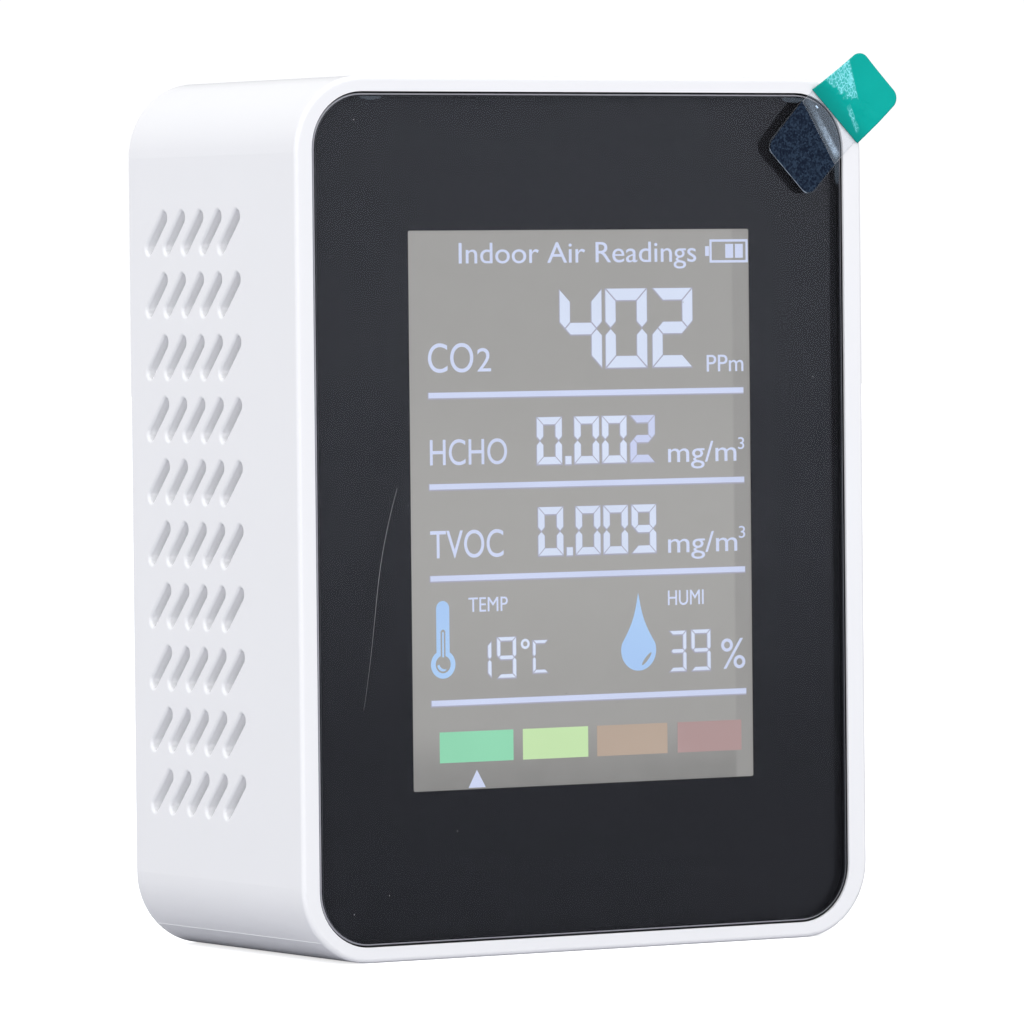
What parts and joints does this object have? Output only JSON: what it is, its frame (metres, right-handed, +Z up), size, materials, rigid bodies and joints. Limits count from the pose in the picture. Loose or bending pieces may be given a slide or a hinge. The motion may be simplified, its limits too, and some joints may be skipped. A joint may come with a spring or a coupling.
{
  "type": "air quality monitor",
  "caption": "Upright desktop air quality monitor: rounded white case with slanted side vents, a glossy black front panel with a lit reading display, and a film with a pull tab.",
  "frame": {"origin": "centre of the case's footprint, on the flat base it stands on", "axes": "+Z up, -Y out of the display, +X to the right when facing the display"},
  "size_m": [0.0738, 0.0374, 0.0948],
  "materials": {
    "shell_white": "fine satin moulded ABS",
    "button_white": "satin moulded ABS",
    "screw_steel": "zinc plated",
    "lens_clear": "polished clear acrylic",
    "mask_black": "screen printed",
    "tape_black": "double sided tape",
    "film_clear": "thin clear film",
    "tape_tint": "pressed adhesive tape",
    "flag_green": "glossy creased film",
    "foam_black": "closed cell foam",
    "display_grey": "satin polariser film",
    "display_glass": "polished",
    "diffuser_white": "frosted film",
    "guide_clear": "polished acrylic with a dot pattern",
    "frame_white": "moulded",
    "led_body": "phosphor gel in a white case",
    "bracket_black": "moulded ABS",
    "flex_amber": "polyimide film",
    "connector_cream": "moulded nylon",
    "board_green": "solder mask",
    "chip_black": "moulded epoxy",
    "contact_tin": "tinned",
    "contact_gold": "gold flash",
    "ferrite_grey": "sintered",
    "ceramic_tan": "sintered",
    "sensor_gold": "gold plated optical cell",
    "filter_white": "woven dust filter",
    "sensor_white": "moulded",
    "can_steel": "pressed can",
    "pouch_foil": "laminated pouch",
    "tape_amber": "polyimide tape",
    "lead_red": "silicone insulation",
    "lead_black": "silicone insulation"
  },
  "bodies": {
    "case": {"front_shell": "shell_white", "rear_cover": "shell_white", "rear_screws": "screw_steel", "front_lens": "lens_clear", "lens_mask": "mask_black", "lens_adhesive": "tape_black", "display_gasket": "foam_black", "front_polariser": "display_grey", "display_glass": "display_glass", "rear_polariser": "display_grey", "backlight_diffuser": "diffuser_white", "light_guide": "guide_clear", "backlight_reflector": "diffuser_white", "backlight_frame": "frame_white", "backlight_leds": "led_body", "display_bracket": "bracket_black", "bracket_screws": "screw_steel", "display_flex": "flex_amber", "flex_connector": "connector_cream", "main_board": "board_green", "board_screws": "screw_steel", "microcontroller": "chip_black", "microcontroller_leads": "contact_tin", "charger_chip": "chip_black", "power_inductor": "ferrite_grey", "capacitors": "ceramic_tan", "resistors": "chip_black", "co2_sensor_housing": "sensor_gold", "co2_sensor_filter": "filter_white", "co2_sensor_board": "board_green", "co2_sensor_pins": "contact_gold", "hcho_sensor_can": "sensor_white", "hcho_sensor_membrane": "filter_white", "gas_sensor_base": "chip_black", "gas_sensor_cap": "can_steel", "gas_sensor_mesh": "can_steel", "humidity_sensor": "chip_black", "buzzer": "chip_black", "battery_cell": "pouch_foil", "battery_tape": "foam_black", "battery_board": "tape_amber", "battery_lead_red": "lead_red", "battery_lead_black": "lead_black", "battery_plug": "connector_cream", "battery_socket": "connector_cream", "usb_port_shell": "can_steel", "usb_port_insert": "chip_black", "usb_port_contacts": "contact_gold", "tact_switch_body": "chip_black"},
    "power_button": {"power_button": "button_white", "tact_switch_plunger": "chip_black"},
    "screen_film": {"protective_film": "film_clear", "film_pull_tape": "tape_tint"},
    "pull_flag": {"film_pull_flag": "flag_green"}
  },
  "joints": [
    {"name": "power_button_press", "type": "slide", "parent": "case", "child": "power_button", "axis": [0, -1, 0], "range_m": [0, 0.0004], "stiffness_N_per_m": 2500, "springref_m": -0.0002},
    {"name": "film_peel", "type": "slide", "parent": "case", "child": "screen_film", "axis": [0, -1, 0], "range_m": [0, 0.04]},
    {"name": "pull_flag_bend", "type": "hinge", "parent": "screen_film", "child": "pull_flag", "pos_m": [0.03143, -0.01815, 0.08793], "axis": [0.7071, 0, -0.7071], "range_deg": [0, 84], "stiffness_Nm_per_rad": 0.0002}
  ]
}
